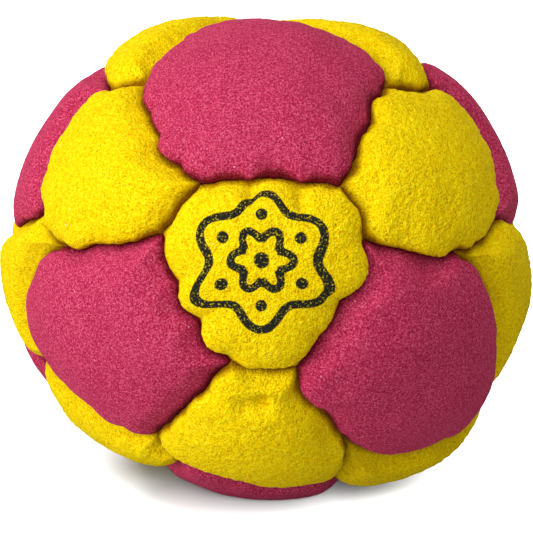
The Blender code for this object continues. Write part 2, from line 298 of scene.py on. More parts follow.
# %% Bend the seams that the photograph shows bent
# Where the middle of each such seam is seen, between its two corners
SEAM_MIDDLE_PIXELS = {
    (("top", "left"), ("top", "far_left")): (160, 133),
    (("top", "left"), ("top", "right")): (270, 176),
    (("top", "right"), ("top", "far_right")): (368, 134),
    (("left", "top"), ("left", "right")): (187, 299),
    (("right", "top"), ("right", "left")): (337, 302),
    (("left", "far_left"), ("left", "low_left")): (32, 299),
    (("left", "low_left"), ("left", "bottom")): (99, 406),
    (("right", "far_right"), ("right", "low_right")): (491, 322),
    (("right", "bottom"), ("right", "low_right")): (417, 444),
    (("far_left", "top"), ("far_left", "left")): (63, 146),
    (("far_right", "top"), ("far_right", "right")): (478, 145),
    (("top", "far_left"), ("top", "crown")): (178, 50),
    (("top", "far_right"), ("top", "crown")): (353, 50),
    (("bottom", "left"), ("bottom", "right")): (262, 479),
}
SEAM_MIDDLES = {frozenset(ends): seen_at(pixel) for ends, pixel in SEAM_MIDDLE_PIXELS.items()}


def seam_directions(start, end, shares):
    """Directions along the seam from one corner to another: an arc, plus a parabola where it bends."""
    first, last = sorted((start, end))
    shares = np.asarray(shares)[..., None]
    shares = shares if first == start else 1 - shares
    along = unit(CORNERS[first] * (1 - shares) + CORNERS[last] * shares)
    if frozenset((start, end)) in SEAM_MIDDLES:
        bow = SEAM_MIDDLES[frozenset((start, end))] - unit(CORNERS[first] + CORNERS[last])
        along = unit(along + bow * 4 * shares * (1 - shares))
    return along


# %% List the panels
Panel = namedtuple("Panel", "name cloth around corners")


def in_turn(corners):
    """Corners in order round their middle, anticlockwise as seen from outside."""
    middle = unit(sum(CORNERS[corner] for corner in corners))
    first_axis = unit(np.cross(middle, CORNERS[corners[0]]))
    second_axis = np.cross(middle, first_axis)

    def turn(corner):
        return math.atan2(CORNERS[corner] @ second_axis, CORNERS[corner] @ first_axis)

    return sorted(corners, key=turn)


def list_panels():
    """A pentagon lies round one pentagon's direction, and a hexagon among three that are neighbours."""
    found = []
    for number, name in enumerate(PENTAGONS, 1):
        corners = in_turn([corner for corner in CORNERS if corner[0] == name])
        found.append(Panel(f"pink_pentagon_{number:02d}", "pink", (name,), corners))
    number = 0
    for trio in itertools.combinations(PENTAGONS, 3):
        if all(are_neighbours(*pair) for pair in itertools.combinations(trio, 2)):
            number += 1
            corners = in_turn(list(itertools.permutations(trio, 2)))
            found.append(Panel(f"yellow_hexagon_{number:02d}", "yellow", trio, corners))
    return found


PANELS = list_panels()
FRONT_PANEL = "yellow_hexagon_01"
print(len(PANELS), "panels")

# %% [markdown]
# ## The sewn seams
#
# Two panels are laid face to face, sewn a little in from their edges and opened out, so the seam
# is a crease with cloth rolling over into it from both sides. Where the thread is tight it pulls
# at the cloth. Between such places the cloth stays full, which gives the edge its scallops and
# sends short puckers into the panel. One side of a seam usually stands over the other. For the
# seams in the photograph a table names both panels by the pentagons round them. It says which
# stands over the other and by how much, how far the scallops reach, and where along the seam they
# begin. The hidden seams are drawn by lot.

# %% Sew the seams
SEAM_DEPTH = 1.7 * MM
SEAM_STEPS = 32
STITCH_SPACING = 2.9 * MM
STITCH_JITTER_SHARE = 0.35
FULLNESS_SHARES = (0.25, 1.1)
SEAM_END_FADE = 1.3 * MM
HIDDEN_OVERHANG = 0.70 * MM
HIDDEN_SCALLOP = 0.80 * MM
# Each stitch has its place along the seam and how full the cloth is from there to the next
Sewn = namedtuple("Sewn", "over under overhang scallop stitches_shares", defaults=[()])
SEWN_SEAMS = (
    ("top", "top left right", 1.50 * MM, -1.80 * MM, ((0.0, 0.8), (0.37, 1.0), (0.70, 0.85))),
    ("top", "top left far_left", 0.60 * MM, 1.10 * MM,
     ((0.0, 0.4), (0.14, 0.5), (0.36, 0.2), (0.56, 1.3), (0.82, 0.5))),
    ("top right far_right", "top", 0.30 * MM, 1.20 * MM,
     ((0.0, 0.2), (0.10, 1.2), (0.43, 0.8), (0.76, -0.8))),
    ("top left right", "top left far_left", 0.20 * MM, 0.10 * MM),
    ("top left right", "top right far_right", 0.60 * MM, 0.40 * MM, ((0.0, 1.0),)),
    ("top left right", "left", 0.45 * MM, 1.50 * MM, ((0.0, 1.1), (0.37, 1.0), (0.66, 0.5))),
    ("top left right", "right", 0.80 * MM, 1.40 * MM, ((0.0, 0.25), (0.27, 0.25), (0.53, 1.5))),
    ("top left right", "left right bottom", 0.90 * MM, 0.30 * MM),
    ("top left far_left", "left", 1.25 * MM, 0.55 * MM, ((0.0, 0.6), (0.42, 0.9), (0.79, -0.8))),
    ("top right far_right", "right", 1.40 * MM, 0.60 * MM, ((0.0, 0.5), (0.10, 1.3), (0.66, 0.3))),
    ("left", "left far_left low_left", 0.90 * MM, 0.20 * MM, ((0.0, 0.6), (0.30, 0.8), (0.72, 0.5))),
    ("left", "left bottom low_left", 0.60 * MM, 0.80 * MM,
     ((0.0, 0.9), (0.21, 0.8), (0.47, 0.5), (0.75, 0.3))),
    ("left right bottom", "left", 0.60 * MM, 0.60 * MM,
     ((0.0, 0.6), (0.22, 0.6), (0.45, 0.9), (0.74, 0.9))),
    ("right", "right far_right low_right", 1.00 * MM, 0.30 * MM, ((0.0, 0.8), (0.25, 0.5), (0.62, 0.6))),
    ("right", "right bottom low_right", 0.80 * MM, 1.10 * MM,
     ((0.0, 0.3), (0.10, 0.9), (0.63, 1.1), (0.94, 0.2))),
    ("right", "left right bottom", 0.50 * MM, 1.60 * MM, ((0.0, 0.2), (0.22, -0.2), (0.50, 1.1))),
    ("top", "top far_left crown", 0.80 * MM, 0.40 * MM),
    ("top", "top far_right crown", 0.80 * MM, 0.50 * MM),
    ("top left far_left", "far_left", 0.70 * MM, 0.60 * MM,
     ((0.0, 1.0), (0.28, 0.7), (0.60, 0.6), (0.82, 0.8))),
    ("top right far_right", "far_right", 0.80 * MM, 0.50 * MM),
    ("bottom", "left right bottom", 0.40 * MM, -1.00 * MM, ((0.0, -0.5), (0.35, 1.2), (0.82, -0.2))),
    ("left bottom low_left", "bottom", 0.70 * MM, 0.40 * MM),
    ("right bottom low_right", "bottom", 0.70 * MM, 0.40 * MM),
    ("left right bottom", "right bottom low_right", 1.00 * MM, 0.40 * MM),
)
SEWN_BETWEEN = {frozenset((frozenset(sewn.over.split()), frozenset(sewn.under.split()))): sewn
                for sewn in (Sewn(*row) for row in SEWN_SEAMS)}


class Seam:
    """One seam: its line, its stitches, how full the cloth is between them, and which side is over."""

    def __init__(self, ends, sides, number):
        random = np.random.default_rng(number)
        shares = np.linspace(0, 1, SEAM_STEPS + 1)
        directions = seam_directions(*sorted(ends), shares)
        self.line = layer(directions, np.full(len(shares), SEAM_DEPTH))[0]
        steps = np.linalg.norm(np.diff(self.line, axis=0), axis=1)
        self.along = np.concatenate(((0,), np.cumsum(steps)))
        self.length = self.along[-1]
        count = max(2, round(self.length / STITCH_SPACING))
        places = np.arange(count + 1.0)
        places[1:-1] += random.uniform(-STITCH_JITTER_SHARE, STITCH_JITTER_SHARE, count - 1)
        self.stitches = places / count * self.length
        self.fullness = random.uniform(*FULLNESS_SHARES, count)
        self.over = sides[random.integers(2)].name
        self.overhang, self.scallop = HIDDEN_OVERHANG, HIDDEN_SCALLOP
        arounds = [frozenset(side.around) for side in sides]
        sewn = SEWN_BETWEEN.get(frozenset(arounds))
        if sewn:
            self.over = sides[arounds.index(frozenset(sewn.over.split()))].name
            self.overhang, self.scallop = sewn.overhang, sewn.scallop
        if sewn and sewn.stitches_shares:
            starts, fullness = zip(*sewn.stitches_shares)
            self.stitches = np.array(starts + (1.0,)) * self.length
            self.fullness = np.array(fullness)

    def bulge(self, along):
        """How full the cloth is at each place: a sine arch between one stitch and the next."""
        along = np.clip(along, 0, self.length)
        interval = np.clip(np.searchsorted(self.stitches, along, side="right") - 1, 0, len(self.fullness) - 1)
        start = self.stitches[interval]
        share = (along - start) / (self.stitches[interval + 1] - start)
        return self.fullness[interval] * np.sin(math.pi * np.clip(share, 0, 1))

    def looseness(self, along):
        """One where the cloth is full, and less at a stitch: the less, the further the scallops reach."""
        tightness = min(1.0, abs(self.scallop) / FULL_SCALLOP)
        return 1 - tightness * (1 - np.clip(np.abs(self.bulge(along)), 0, 1))

    def side(self, panel):
        """One for the panel that stands over its neighbour at this seam, minus one for the other."""
        return 1 if self.over == panel.name else -1

    def lean(self, along, panel):
        """How far a panel's edge stands out over the seam, or less than zero where it is pushed back."""
        return self.side(panel) * (self.overhang + self.scallop * self.bulge(along))

    def fade(self, along):
        """One along the seam, falling to zero at its two ends."""
        near_end = np.minimum(along, self.length - along) / SEAM_END_FADE
        return 1 - np.exp(-np.clip(near_end, 0, None) ** 2)


def sew_seams():
    """One seam for each pair of corners that two panels share."""
    sides = {}
    for panel in PANELS:
        for ends in zip(panel.corners, panel.corners[1:] + panel.corners[:1]):
            sides.setdefault(frozenset(ends), []).append(panel)
    return {ends: Seam(ends, pair, number) for number, (ends, pair) in enumerate(sides.items())}


SEAMS = sew_seams()
total = sum(seam.length for seam in SEAMS.values())
print(len(SEAMS), "seams,", round(total / MM), "mm long in all, with",
      sum(len(seam.fullness) for seam in SEAMS.values()), "stitches")

# %% [markdown]
# ## Soft noise
#
# Sand leaves lumps and dents of every size under the cloth, and the nap of suede gathers in
# small tufts. Both are made from one soft noise: random slopes at the corners of a cubic
# lattice, blended smoothly between them. It is worked out for all points at once.

# %% Make soft noise
NOISE_SEED = 7
SLOPE_COUNT = 4096
SEED_SHIFT = 17.31
LATTICE_SLOPES = unit(np.random.default_rng(NOISE_SEED).normal(size=(SLOPE_COUNT, 3)))
LATTICE_PRIMES = np.array((73856093, 19349663, 83492791))


def soft_noise(points, size, seed):
    """Noise from about -0.7 to 0.7 in lumps of this size: slopes blended by 6t^5 - 15t^4 + 10t^3."""
    places = points / size + seed * SEED_SHIFT
    cells = np.floor(places).astype(np.int64)
    local = places - cells
    fade = local ** 3 * (local * (local * 6 - 15) + 10)
    total = np.zeros(len(points))
    for corner in itertools.product((0, 1), repeat=3):
        keys = (cells + corner) * LATTICE_PRIMES
        slopes = LATTICE_SLOPES[(keys[:, 0] ^ keys[:, 1] ^ keys[:, 2]) % SLOPE_COUNT]
        weights = np.prod(np.where(corner, fade, 1 - fade), axis=1)
        total += weights * np.sum(slopes * (local - corner), axis=1)
    return total


# %% [markdown]
# ## The puffed face of a panel
#
# Seen from the side, a panel's face is nearly flat in the middle, bends down towards its seams
# and rolls over into them like the edge of a cushion. Its depth under the bag's round form
# depends on the distance to the nearest seam. The stitches, the folds and the sand's lumps are
# added to that depth, and at the seam the whole face leans over its neighbour, or is pushed
# back by it.

# %% Measure from points to the seams
CORNER_SOFTNESS = 8
SIDE_SOFTNESS = 2.5
NEAREST = 1e-6


def to_line(points, line):
    """Distance from points to a line of points, and the nearest place as a step number and share."""
    start, step = line[:-1], np.diff(line, axis=0)
    offset = points[:, None] - start
    share = np.clip(np.sum(offset * step, axis=2) / np.sum(step * step, axis=1), 0, 1)
    gap = np.linalg.norm(offset - share[..., None] * step, axis=2)
    nearest = gap.argmin(axis=1)
    rows = np.arange(len(points))
    return gap[rows, nearest], nearest, share[rows, nearest]


def side_measures(points, normals, panel):
    """For each side of a panel: distance to its seam, place along it, and the way out across it."""
    measures = []
    for ends in zip(panel.corners, panel.corners[1:] + panel.corners[:1]):
        seam = SEAMS[frozenset(ends)]
        gap, step, share = to_line(points, seam.line)
        along = seam.along[step] + share * (seam.along[step + 1] - seam.along[step])
        forward = seam.line[step + 1] - seam.line[step]
        if sorted(ends)[0] != ends[0]:
            forward = -forward
        out = unit(np.cross(forward, normals))
        measures.append((seam, np.maximum(gap, NEAREST), along, out))
    return measures


# %% Roll the edges and pucker them at the stitches
ROLL_WIDTH = 2.4 * MM
ROLL_DEPTH = 1.55 * MM
CROWN_DEPTH = 0.95 * MM
GROOVE_DEPTH = ROLL_DEPTH + CROWN_DEPTH
STITCH_PINCH_SHARE = 0.40
TUCK_SHARE = 0.35
FULL_OVERHANG = 1.2 * MM
FULL_SCALLOP = 1.3 * MM
PUCKER_DEPTH = 0.42 * MM
PUCKER_REACH = 1.8 * MM
LEAN_REACH = 3.2 * MM
PUSH_REACH = 1.2 * MM
PUSH_SPREAD = 0.8
LEAN_POWER = 0.6
TUCK_DEPTH = 0.50 * MM
TUCK_REACH = 1.5 * MM
SEAM_GAP = 0.05 * MM
GAP_REACH = 0.4 * MM


def puffed_depth(distance, half_width, looseness, tuck):
    """Depth of the face: a quarter round beside the seam, and then a low crown.

    The round is wider at a stitch and where the face is tucked under its neighbour, by e^(-tuck). A
    tucked face also lies deeper beside the seam, so its neighbour's edge stands clear of it.
    """
    width = ROLL_WIDTH * (1 + STITCH_PINCH_SHARE * (1 - looseness)) * np.exp(-TUCK_SHARE * tuck)
    roll = np.clip(distance / width, 0, 1)
    crown = np.clip(distance / half_width, 0, 1)
    pucker = PUCKER_DEPTH * (1 - looseness) * np.exp(-distance / PUCKER_REACH) * roll
    under = TUCK_DEPTH * np.clip(-tuck, 0, 1) * np.exp(-(distance / TUCK_REACH) ** 2)
    under = under * np.clip(distance / GAP_REACH, 0, 1)
    round_edge = ROLL_DEPTH * (1 - np.sqrt(1 - (1 - roll) ** 2))
    return round_edge + CROWN_DEPTH * (1 - crown) ** 2 + pucker + under


def leaning(measures, weights, height, panel):
    """How far each point leans across its seams: more the higher it is, and less away from them.

    The amount is the seam's lean times height^0.6 and a bell curve of the distance to the seam. For a
    face that is pushed back the curve is the wider, the further it is pushed, so it doesn't crease.
    """
    shift = np.zeros((len(height), 3))
    for (seam, gap, along, out), weight in zip(measures, weights):
        lean = seam.lean(along, panel) * seam.fade(along)
        bell = np.exp(-(gap / np.where(lean > 0, LEAN_REACH, PUSH_REACH - PUSH_SPREAD * lean)) ** 2)
        amount = lean * height ** LEAN_POWER * bell
        amount = amount - SEAM_GAP / 2 * np.exp(-gap / GAP_REACH)
        shift += out * (amount * weight)[:, None]
    return shift


# %% Let the sand dent the cloth
# Each noise's size and how high it rises or how far it pushes, and a push's reach from the seam
SAND_LUMPS = ((8.0 * MM, 0.42 * MM), (3.6 * MM, 0.13 * MM), (1.8 * MM, 0.035 * MM))
WANDERS = (
    (7.0 * MM, 0.20 * MM, 60.0 * MM),
    (2.4 * MM, 0.30 * MM, 4.0 * MM),
    (1.1 * MM, 0.20 * MM, 0.9 * MM),
    (0.5 * MM, 0.09 * MM, 0.5 * MM),
)
# Each fold's two ends as they are seen, its depth and its width
FOLDS = (
    ((246, 412), (264, 409), 0.65 * MM, 0.80 * MM),
    ((264, 409), (322, 406), 0.70 * MM, 0.85 * MM),
    ((334, 428), (333, 466), 0.45 * MM, 0.75 * MM),
    ((250, 182), (252, 196), 0.30 * MM, 0.55 * MM),
    ((300, 184), (303, 204), 0.40 * MM, 0.60 * MM),
    ((368, 108), (350, 104), 0.30 * MM, 1.30 * MM),
)
SURFACE_FORM_PIXELS = (261, 256, 244, 249)
LUMP_SEED, NAP_SEED, WANDER_SEED = 1, 11, 21
AXIS_SEED_STEP = 10


def sand_lumps(points):
    """Height of the lumps that the sand makes: three sizes of soft noise, added."""
    return sum(rise * soft_noise(points, size, seed)
               for seed, (size, rise) in enumerate(SAND_LUMPS, LUMP_SEED))


def wander(points, distance=0.0):
    """How far the sand pushes cloth and seams aside: soft noise along each of the three axes.

    The smaller noises fade away from the seam, by e^(-distance / reach).
    """
    total = np.zeros((len(points), 3))
    for seed, (size, push, fade_reach) in enumerate(WANDERS, WANDER_SEED):
        seeds = [AXIS_SEED_STEP * axis + seed for axis in range(3)]
        noise = np.stack([soft_noise(points, size, axis_seed) for axis_seed in seeds], axis=1)
        total += noise * np.reshape(push * np.exp(-distance / fade_reach), (-1, 1))
    return total


def fold_lines():
    """The folds seen in the photograph: the two ends as points, with the fold's depth and width."""
    found = []
    for start, end, depth, width in FOLDS:
        directions = unit(np.array((seen_at(start, SURFACE_FORM_PIXELS), seen_at(end, SURFACE_FORM_PIXELS))))
        found.append((layer(directions, np.full(2, SEAM_DEPTH))[0], depth, width))
    return found


FOLD_LINES = fold_lines()


def fold_depth(points):
    """Depth of the folds: a bell curve of the distance to each fold's line."""
    return sum(depth * np.exp(-(to_line(points, line)[0] / width) ** 2) for line, depth, width in FOLD_LINES)


# %% [markdown]
# ## The nap
#
# Suede's nap is a dense pile of cut fibres that cling together in tufts. On the yellow cloth
# they are woolly and show clearly, about half a millimetre across. On the pink cloth they are
# finer. The larger tufts are modelled in the mesh, because they break up the edges of light and
# shadow, and the finer ones are left to the material.

# %% Raise the nap's tufts
NAP = {
    "yellow": ((1.30 * MM, 0.045 * MM), (0.62 * MM, 0.105 * MM), (0.38 * MM, 0.075 * MM)),
    "pink": ((0.90 * MM, 0.015 * MM), (0.48 * MM, 0.025 * MM), (0.36 * MM, 0.022 * MM)),
}


def nap_height(points, cloth):
    """Height of the tufts: the size of the noise without its sign, so rounded tufts meet in creases."""
    return sum(rise * (np.abs(soft_noise(points, size, seed)) * 2 - 0.5)
               for seed, (size, rise) in enumerate(NAP[cloth], NAP_SEED))


# %% [markdown]
# ## A panel as a grid
#
# A polygon has no natural grid of its own, but it can be cut into kites, one for each corner,
# from the corner to the middles of its two seams and to the panel's middle. Each kite is a
# grid of two parameters, blended from its four edges. The lines lie closer together towards the
# seams, where the cloth rolls over.

# %% Divide a panel into kites
KITE_STEPS = 58
CROWDING = 1.35


def kite_directions(panel, steps=KITE_STEPS):
    """Directions on every kite's grid, as an array of kites, rows and columns.

    A place in a kite is the sum of what its two pairs of facing edges give, less what its four
    corners give, so it meets all four edges.
    """
    lines = np.linspace(0, 1, steps + 1) ** CROWDING
    across, inward = np.meshgrid(lines, lines, indexing="ij")
    across, inward = across[..., None], inward[..., None]
    corners = panel.corners
    middle = unit(sum(CORNERS[corner] for corner in corners))
    kites = []
    for before, corner, after in zip(corners[-1:] + corners[:-1], corners, corners[1:] + corners[:1]):
        onward = seam_directions(corner, after, lines / 2)[:, None]
        backward = seam_directions(corner, before, lines / 2)[None]
        here, end_a, end_b = onward[0, 0], onward[-1, 0], backward[0, -1]
        far_across = end_b + (middle - end_b) * across
        far_inward = end_a + (middle - end_a) * inward
        sides = onward * (1 - inward) + far_across * inward + backward * (1 - across) + far_inward * across
        ends = (here * (1 - across) * (1 - inward) + end_a * across * (1 - inward)
                + end_b * (1 - across) * inward + middle * across * inward)
        kites.append(unit(sides - ends))
    return np.array(kites), middle


def kite_faces(kites, steps=KITE_STEPS):
    """Quads of every kite's grid, as numbers of its points, facing out."""
    numbers = np.arange(kites * (steps + 1) ** 2).reshape(kites, steps + 1, steps + 1)
    quads = (numbers[:, :-1, :-1], numbers[:, 1:, :-1], numbers[:, 1:, 1:], numbers[:, :-1, 1:])
    return np.stack(quads, axis=-1).reshape(-1, 4), numbers


# %% Shape a panel's cloth
CLOTH_THICKNESS = 0.8 * MM
FLOOR_FADE = 6.0 * MM
Cloth = namedtuple("Cloth", "points distance flat")


def fade_at_floor(points):
    """Zero on the floor, rising smoothly to one a little above it."""
    return 1 - np.exp(-(points[:, 2:] / FLOOR_FADE) ** 2)


def shape_cloth(directions, panel, extra, half_width=None):
    """Points of a panel's face, or of a layer of the cloth this much deeper.

    The distances to the sides are joined by a power mean, which rounds them off at the corners.
    """
    flat, normals = layer(directions, np.full(len(directions), SEAM_DEPTH))
    measures = side_measures(flat, normals, panel)
    gaps = np.array([measure[1] for measure in measures])
    distance = np.sum(gaps ** -CORNER_SOFTNESS, axis=0) ** (-1 / CORNER_SOFTNESS)
    weights = gaps ** -SIDE_SOFTNESS
    weights = weights / weights.sum(axis=0)
    looseness = sum(weight * seam.looseness(along) for weight, (seam, _, along, _) in zip(weights, measures))
    tuck = sum(weight * seam.side(panel) * seam.overhang / FULL_OVERHANG
               for weight, (seam, _, _, _) in zip(weights, measures))
    depth = puffed_depth(distance, half_width or distance.max(), looseness, np.clip(tuck, -1, 1))
    inner = np.clip(distance / ROLL_WIDTH, 0, 1)
    depth = depth - sand_lumps(flat) * inner + fold_depth(flat) * inner
    depth = depth - nap_height(flat, panel.cloth) * np.clip(distance / GAP_REACH, 0, 1)
    height = np.clip(1 - depth / GROOVE_DEPTH, 0, 1)
    points = layer(directions, depth + extra)[0] + leaning(measures, weights, height, panel)
    points += wander(flat, distance) * fade_at_floor(points)
    return Cloth(points, distance, flat)


# %% [markdown]
# ## The back of a panel
#
# Each panel is a closed piece of cloth. From the seam its edge is turned in and hangs down
# inside the bag as the seam allowance, and the back of the cloth follows the face, nearly a
# millimetre further in. The sand hides all of that, so a few rings are enough.

# %% Close a panel's back
ALLOWANCE_DEPTH = 3.7 * MM
ALLOWANCE_SHARE = 0.91
BACK_SHARES = (0.88, 0.70, 0.40)


def rim_numbers(numbers):
    """Numbers of the face's rim in order: out along one kite's seam edge and back along the next's."""
    onward = numbers[:, :-1, 0]
    backward = np.roll(numbers[:, 0, :], -1, axis=0)[:, ::-1][:, :-1]
    return np.concatenate((onward, backward), axis=1).ravel()


def shape_back(rim, middle, panel, half_width):
    """Points behind the face: rings from under the seam in to the middle, and the middle itself.

    Each ring has the rim's directions drawn towards the middle by a share.
    """
    turned_in = np.full(len(rim), ALLOWANCE_DEPTH)
    shift = wander(layer(rim, np.full(len(rim), SEAM_DEPTH))[0])
    rings = [layer(unit(middle * (1 - share) + rim * share), turned_in)[0] for share in (1, ALLOWANCE_SHARE)]
    rings = [ring + shift * fade_at_floor(ring) for ring in rings]
    for share in BACK_SHARES:
        directions = unit(middle * (1 - share) + rim * share)
        rings.append(shape_cloth(directions, panel, CLOTH_THICKNESS, half_width).points)
    rings.append(shape_cloth(middle[None], panel, CLOTH_THICKNESS, half_width).points)
    points = np.concatenate(rings)
    points[:, 2] = np.maximum(points[:, 2], CLOTH_THICKNESS)
    return points, np.arange(len(points) - 1).reshape(-1, len(rim))


def strip_faces(outer, inner):
    """Quads between two rings, facing away from the face's side."""
    return np.stack((outer, inner, np.roll(inner, -1), np.roll(outer, -1)), axis=1)


# %% [markdown]
# ## The printed mark
#
# The front panel carries a small mark, printed in dark ink. It is a plain rosette: a ring of
# six soft lobes with a dot in each, a smaller ring turned by half a lobe, and a dot in the
# middle. The mesh keeps how far inside the ink each point lies, and the material draws the edge.

# %% Draw the rosette
MARK_PIXEL = (262, 260)
MARK_LOBES = 6
# Each ring's radius, how much its lobes swell it and its turn, and each dot's place and radius
MARK_RINGS = ((5.0 * MM, 0.13, 0.0), (2.2 * MM, 0.18, math.pi))
MARK_DOTS = ((3.7 * MM, 0.50 * MM), (0.0, 0.65 * MM))
MARK_STROKE = 0.70 * MM
INK_BLUR = 1.0 * MM
MARK_DIRECTION = seen_at(MARK_PIXEL, SURFACE_FORM_PIXELS)


def ink_share(points):
    """How far inside the ink each point lies: a half at a stroke's edge, one well inside, zero outside.

    In polar coordinates a ring is r = R (1 + s cos(n t)). The gap to it is about the difference in r
    divided by sqrt(1 + (R' / r)^2). The dots are measured with the turn folded into one lobe.
    """
    middle, normal = (each[0] for each in layer(MARK_DIRECTION[None], np.full(1, SEAM_DEPTH)))
    across_axis = unit(np.cross(VIEW_UP, normal))
    up_axis = np.cross(normal, across_axis)
    across, up = (points - middle) @ across_axis, (points - middle) @ up_axis
    radius = np.hypot(across, up) + NEAREST
    turn = np.arctan2(across, up)
    edges = []
    for size, swell, start in MARK_RINGS:
        ring = size * (1 + swell * np.cos(MARK_LOBES * turn + start))
        slope = size * swell * MARK_LOBES * np.sin(MARK_LOBES * turn + start)
        edges.append(np.abs(radius - ring) / np.sqrt(1 + (slope / radius) ** 2) - MARK_STROKE / 2)
    lobe = 2 * math.pi / MARK_LOBES
    folded = (turn + lobe / 2) % lobe - lobe / 2
    for place, size in MARK_DOTS:
        edges.append(np.hypot(radius * np.cos(folded) - place, radius * np.sin(folded)) - size)
    return np.clip(0.5 - np.min(edges, axis=0) / INK_BLUR, 0, 1)


# %% Join the face and the back into one mesh
WELD_SIZE = 1e-9


def add_object(name, points, faces):
    """A smooth mesh object of these points and faces, in the scene."""
    mesh = bpy.data.meshes.new(name)
    mesh.from_pydata(points, [], faces)
    mesh.shade_smooth()
    made = bpy.data.objects.new(name, mesh)
    bpy.context.scene.collection.objects.link(made)
    return made


def weld(points, places):
    """First number of each place, and each point's new number. Places that coincide become one."""
    keys = np.round(places / WELD_SIZE).astype(np.int64)
    _, first, number = np.unique(keys, axis=0, return_index=True, return_inverse=True)
    return first, number.ravel()


def keep_values(mesh, name, values):
    """Store one number for each point of a mesh, for its material to read."""
    mesh.attributes.new(name, "FLOAT", "POINT").data.foreach_set("value", values.astype(np.float32))


def make_panel(panel):
    """A panel's mesh object, with each point's distance to the seams kept for the material."""
    kites, middle = kite_directions(panel)
    quads, numbers = kite_faces(len(kites))
    directions = kites.reshape(-1, 3)
    first, number = weld(directions, directions)
    face = shape_cloth(directions[first], panel, 0.0)
    face.points[:, 2] = np.maximum(face.points[:, 2], 0)
    rim = number[rim_numbers(numbers)]
    back, rings = shape_back(directions[first][rim], middle, panel, face.distance.max())
    rings = rings + len(first)
    strips = [strip_faces(outer, inner) for outer, inner in zip((rim, *rings), rings)]
    last = np.full(len(rim), len(first) + len(back) - 1)
    cap = np.stack((rings[-1], last, np.roll(rings[-1], -1)), axis=1)
    faces = np.concatenate((number[quads], *strips)).tolist() + cap.tolist()
    made = add_object(panel.name + "_cloth", np.concatenate((face.points, back)).tolist(), faces)
    behind = np.zeros(len(back))
    keep_values(made.data, "seam_distance", np.concatenate((face.distance, behind)) / MM)
    if panel.name == FRONT_PANEL:
        keep_values(made.data, "ink", np.concatenate((ink_share(face.flat), behind)))
    return made


# %% Make every panel
pieces = {panel.name: make_panel(panel) for panel in PANELS}
triangles = sum(len(polygon.vertices) - 2 for piece in pieces.values() for polygon in piece.data.polygons)
print(len(pieces), "panels with", triangles, "triangles")

# %% [markdown]
# ## Adding nodes
#
# Every material is a small graph of nodes. One function adds a node with its settings and
# links, so that a material reads from top to bottom like a recipe. Colours are written as the
# hex values that an image editor shows, and turned to the linear values that Blender uses.

# %% Add a node, and read a colour


def linear(colour):
    """A hex colour such as FFD400 as linear red, green, blue and alpha.

    A share s of full brightness becomes s / 12.92 up to 0.04045, and ((s + 0.055) / 1.055) ^ 2.4 above.
    """
    shares = [int(colour[place:place + 2], 16) / 255 for place in (0, 2, 4)]
    return (*[s / 12.92 if s <= 0.04045 else ((s + 0.055) / 1.055) ** 2.4 for s in shares], 1.0)


def add_node(owner, kind, inputs=(), stops=(), **settings):
    """Add a node of this kind to a material or the world.

    An input is a value, or another node's output socket to link. A colour ramp has stops too:
    places from 0 to 1, each with a hex colour.
    """
    node = owner.node_tree.nodes.new("ShaderNode" + kind)
    for name, value in settings.items():
        setattr(node, name, value)
    for name, value in dict(inputs).items():
        if isinstance(value, bpy.types.NodeSocket):
            owner.node_tree.links.new(value, node.inputs[name])
        else:
            node.inputs[name].default_value = value
    for number, (place, colour) in enumerate(stops):
        elements = node.color_ramp.elements
        element = elements[number] if number < len(elements) else elements.new(place)
        element.position, element.color = place, linear(colour)
    return node


def new_material(name):
    """A material with no nodes yet."""
    material = bpy.data.materials.new(name)
    material.use_nodes = True
    material.node_tree.nodes.clear()
    return material


# %% [markdown]
# ## Synthetic suede
#
# Footbag panels are cut from microfibre suede: a non-woven cloth of very fine polyester fibres
# whose surface is sanded to a nap. It has no gloss. Fibres that stand up at a grazing angle
# catch the light, which gives the soft pale rim that a sheen describes. The colour varies at
# random from tuft to tuft. It is also painted darker in the creases between tufts and paler at
# their tips: a painted shade and a painted highlight that follow the tufts' bumps.
# Beside a seam the colour is painted darker, a painted shade in the crease. One fibre is a hundredth of a
# millimetre thick, too fine to show, so the fibres are drawn as clumps as coarse as they show.

# %% Make the two suedes
Suede = namedtuple("Suede", "name tuft fibre shades lint relief sheen_tint")
# A cloth's tuft and fibre sizes, four colours from crease to tip with painted shade and highlight, lint,
# relief and sheen
SUEDES = {
    "yellow": ("yellow_microfibre_suede", 0.36 * MM, 0.17 * MM,
               ((0.28, "B88600"), (0.39, "EABC00"), (0.50, "FCD800"), (0.66, "FFF020")),
               "FFF8C0", 0.30 * MM, "FFE020"),
    "pink": ("pink_microfibre_suede", 0.24 * MM, 0.14 * MM,
             ((0.30, "7C1232"), (0.40, "A02046"), (0.50, "BC3056"), (0.64, "DC6080")),
             "FFC4D2", 0.16 * MM, "FF7090"),
}
INK = "20241F"
INK_GRAIN = 0.18 * MM
INK_EDGE_SHARE = 0.16
INK_EDGE_STOPS = ((0.48, "000000"), (0.53, "FFFFFF"))
INK_WEAR_STOPS = ((0.56, "FFFFFF"), (0.70, "909090"))
TUFT_SHARE = 0.35
PATCH_SIZE = 4.5 * MM
PATCH_SHARE = 0.06
LINT_SIZE = 0.35 * MM
LINT_STOPS = ((0.82, "000000"), (0.84, "FFFFFF"))
# Painted shade in the seams' creases: its colours by the distance to the seam in millimetres
CREASE_SHADE_STOPS = ((0.20, "A08070"), (0.65, "FFFFFF"))


